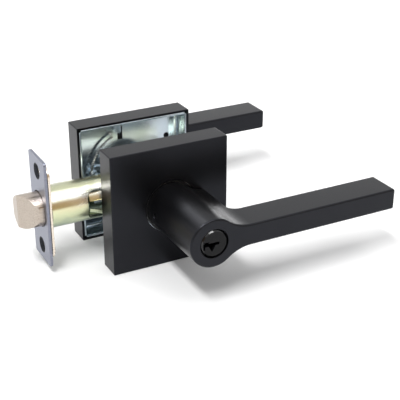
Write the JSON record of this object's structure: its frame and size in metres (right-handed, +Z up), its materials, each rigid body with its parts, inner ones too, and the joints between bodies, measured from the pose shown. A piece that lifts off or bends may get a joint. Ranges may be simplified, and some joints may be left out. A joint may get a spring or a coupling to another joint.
{
  "type": "lever handle lockset",
  "caption": "Keyed door lever lockset with square roses, straight square levers and a tubular spring latch that the levers draw back.",
  "frame": {"origin": "on the spindle axis, half way through the door", "axes": "+Y along the spindle axis from the keyed side to the inner side, +X from the latch bolt towards the lever grips, +Z up"},
  "size_m": [0.1771, 0.1544, 0.065],
  "materials": {
    "black_powder_coat": "matte powder coat",
    "black_satin_metal": "satin black",
    "black_nylon": "matte",
    "bright_zinc": "bright zinc plate",
    "plain_steel": "plain",
    "spring_steel": "drawn wire",
    "brass": "turned",
    "satin_nickel": "satin nickel plate",
    "yellow_zinc": "yellow chromate zinc plate"
  },
  "bodies": {
    "chassis": {"exterior_rose_cover": "black_powder_coat", "exterior_rose_bush": "black_nylon", "exterior_mounting_plate": "bright_zinc", "exterior_return_spring": "spring_steel", "interior_rose_cover": "black_powder_coat", "interior_rose_bush": "black_nylon", "interior_mounting_plate": "bright_zinc", "interior_return_spring": "spring_steel", "threaded_post_latch_side": "bright_zinc", "threaded_post_lever_side": "bright_zinc", "mounting_screw_latch_side": "bright_zinc", "mounting_screw_lever_side": "bright_zinc", "faceplate": "satin_nickel", "backplate": "yellow_zinc", "latch_tube": "yellow_zinc", "latch_spring_seat": "yellow_zinc", "latch_spring": "spring_steel"},
    "exterior_lever": {"exterior_lever": "black_powder_coat", "exterior_spindle": "plain_steel", "exterior_retaining_ring": "plain_steel", "exterior_spring_driver": "bright_zinc", "cylinder_shell": "brass", "drive_spindle": "plain_steel", "retractor_cam": "bright_zinc"},
    "interior_lever": {"interior_lever": "black_powder_coat", "interior_spindle": "plain_steel", "interior_retaining_ring": "plain_steel", "interior_spring_driver": "bright_zinc"},
    "latch_bolt": {"latch_bolt": "satin_nickel", "bolt_drawbar": "plain_steel"},
    "key_plug": {"key_plug": "black_satin_metal", "tailpiece": "plain_steel"},
    "turn_button": {"turn_button": "black_satin_metal"}
  },
  "joints": [
    {"name": "exterior_lever_turn", "type": "hinge", "parent": "chassis", "child": "exterior_lever", "pos_m": [0, 0, 0], "axis": [0, 1, 0], "range_deg": [0, 50], "stiffness_Nm_per_rad": 0.9, "springref_deg": -20.05, "deforming": ["exterior_return_spring"]},
    {"name": "interior_lever_turn", "type": "hinge", "parent": "chassis", "child": "interior_lever", "pos_m": [0, 0, 0], "axis": [0, 1, 0], "range_deg": [0, 50], "stiffness_Nm_per_rad": 0.9, "springref_deg": -20.05, "deforming": ["interior_return_spring"]},
    {"name": "bolt_retract", "type": "slide", "parent": "chassis", "child": "latch_bolt", "axis": [1, 0, 0], "range_m": [0, 0.0111], "stiffness_N_per_m": 250, "springref_m": -0.012, "deforming": ["latch_spring"]},
    {"name": "key_turn", "type": "hinge", "parent": "exterior_lever", "child": "key_plug", "pos_m": [0, 0, 0], "axis": [0, 1, 0], "range_deg": [0, 90]},
    {"name": "button_turn", "type": "hinge", "parent": "interior_lever", "child": "turn_button", "pos_m": [0, 0, 0], "axis": [0, 1, 0], "range_deg": [0, 90]}
  ],
  "couplings": [
    {"joint": "interior_lever_turn", "follows": "exterior_lever_turn", "ratio": 1},
    {"joint": "bolt_retract", "follows": "exterior_lever_turn", "m_per_rad": 0.0126},
    {"joint": "button_turn", "follows": "key_turn", "ratio": 1}
  ]
}
